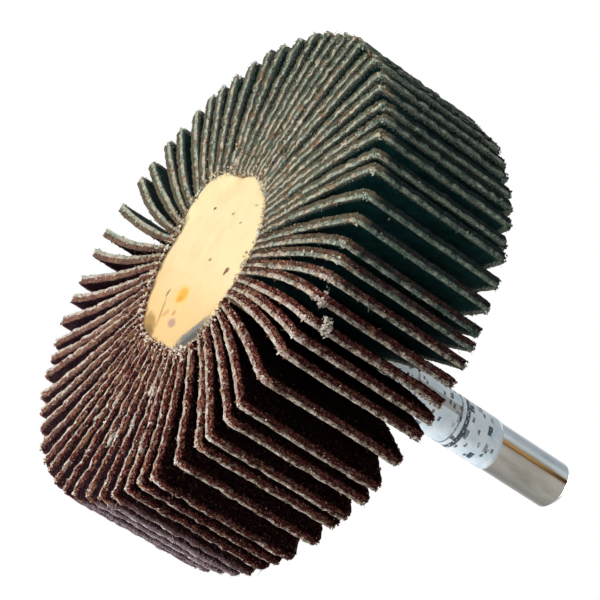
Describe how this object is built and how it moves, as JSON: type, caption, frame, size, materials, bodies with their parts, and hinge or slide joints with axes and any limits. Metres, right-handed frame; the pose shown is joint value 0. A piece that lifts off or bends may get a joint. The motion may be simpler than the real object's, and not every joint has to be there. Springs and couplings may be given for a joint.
{
  "type": "mounted flap wheel",
  "caption": "Mounted flap wheel: coated abrasive cloth flaps fanned round a cast resin core on a straight steel shank.",
  "frame": {"origin": "centre of the wheel's front plane, where the flaps' front edges stand", "axes": "+Z along the shank, from the wheel towards the shank's free end"},
  "size_m": [0.0598, 0.0599, 0.056],
  "materials": {
    "plated_steel": "bright plated, finely turned",
    "cast_resin": "smooth cast resin with specks and an amber stain",
    "abrasive_cloth": "coarse brown grit on one side, dark green cloth on the other, frayed pale edges"
  },
  "bodies": {
    "root": {"shank": "plated_steel", "resin_core": "cast_resin", "flap_pair_01": "abrasive_cloth", "flap_pair_02": "abrasive_cloth", "flap_pair_03": "abrasive_cloth", "flap_pair_04": "abrasive_cloth", "flap_pair_05": "abrasive_cloth", "flap_pair_06": "abrasive_cloth", "flap_pair_07": "abrasive_cloth", "flap_pair_08": "abrasive_cloth", "flap_pair_09": "abrasive_cloth", "flap_pair_10": "abrasive_cloth", "flap_pair_11": "abrasive_cloth", "flap_pair_12": "abrasive_cloth", "flap_pair_13": "abrasive_cloth", "flap_pair_14": "abrasive_cloth", "flap_pair_15": "abrasive_cloth", "flap_pair_16": "abrasive_cloth", "flap_pair_17": "abrasive_cloth", "flap_pair_18": "abrasive_cloth", "flap_pair_19": "abrasive_cloth", "flap_pair_20": "abrasive_cloth", "flap_pair_21": "abrasive_cloth", "flap_pair_22": "abrasive_cloth", "flap_pair_23": "abrasive_cloth", "flap_pair_24": "abrasive_cloth", "flap_pair_25": "abrasive_cloth", "flap_pair_26": "abrasive_cloth", "flap_pair_27": "abrasive_cloth", "flap_pair_28": "abrasive_cloth", "flap_pair_29": "abrasive_cloth", "flap_pair_30": "abrasive_cloth", "flap_pair_31": "abrasive_cloth", "flap_pair_32": "abrasive_cloth", "flap_pair_33": "abrasive_cloth"}
  },
  "joints": []
}
